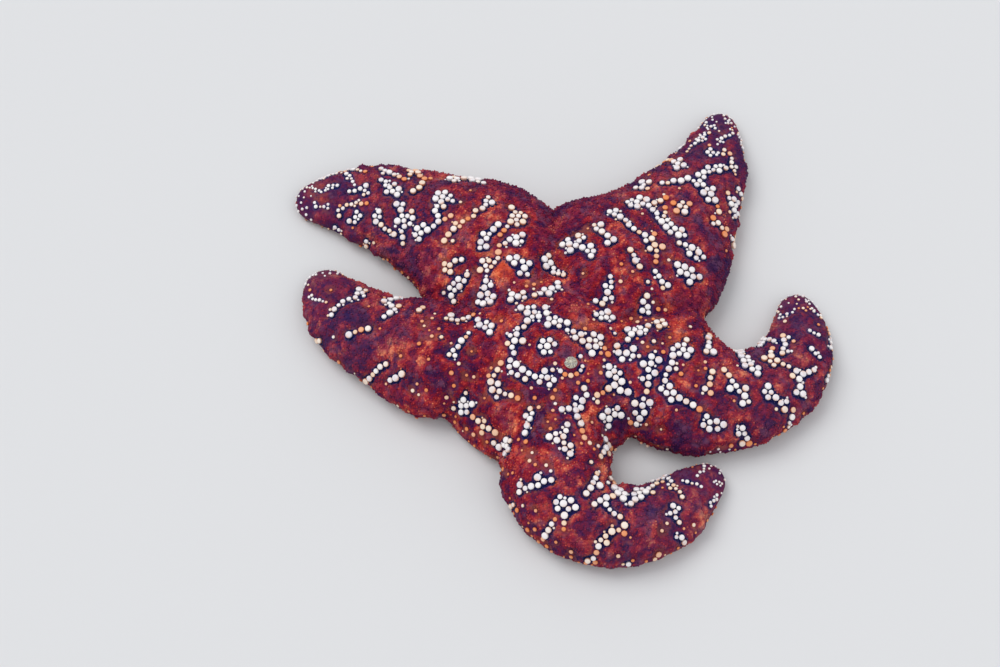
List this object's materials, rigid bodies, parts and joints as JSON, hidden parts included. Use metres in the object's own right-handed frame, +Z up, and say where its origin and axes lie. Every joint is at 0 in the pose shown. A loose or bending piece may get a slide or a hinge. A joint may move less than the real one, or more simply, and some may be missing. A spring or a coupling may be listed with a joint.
{
  "type": "starfish",
  "caption": "Ochre sea star lying flat with curled tapering arms, a net of blunt spines on its back, and grooves with tube feet beneath.",
  "frame": {"origin": "middle of the footprint's bounding box, on the floor plane under the animal", "axes": "+Z up through the back; +Y the way the rear arm points as the animal lies; +X to the animal's right in plan"},
  "size_m": [0.191, 0.1816, 0.029],
  "materials": {
    "skin": "wet, mottled maroon to orange",
    "sieve_plate": "matte, pale beige",
    "eyespot": "gloss, red",
    "soft_tissue": "soft, pale orange"
  },
  "bodies": {
    "root": {"disc": "skin", "madreporite": "sieve_plate", "mouth_membrane": "soft_tissue", "arm_a_base": "skin", "arm_a_middle": "skin", "arm_a_tip": "skin", "arm_a_eyespot": "eyespot", "arm_b_base": "skin", "arm_b_middle": "skin", "arm_b_tip": "skin", "arm_b_eyespot": "eyespot", "arm_c_base": "skin", "arm_c_middle": "skin", "arm_c_tip": "skin", "arm_c_eyespot": "eyespot", "arm_d_base": "skin", "arm_d_middle": "skin", "arm_d_tip": "skin", "arm_d_eyespot": "eyespot", "arm_e_base": "skin", "arm_e_middle": "skin", "arm_e_tip": "skin", "arm_e_eyespot": "eyespot"}
  },
  "joints": []
}
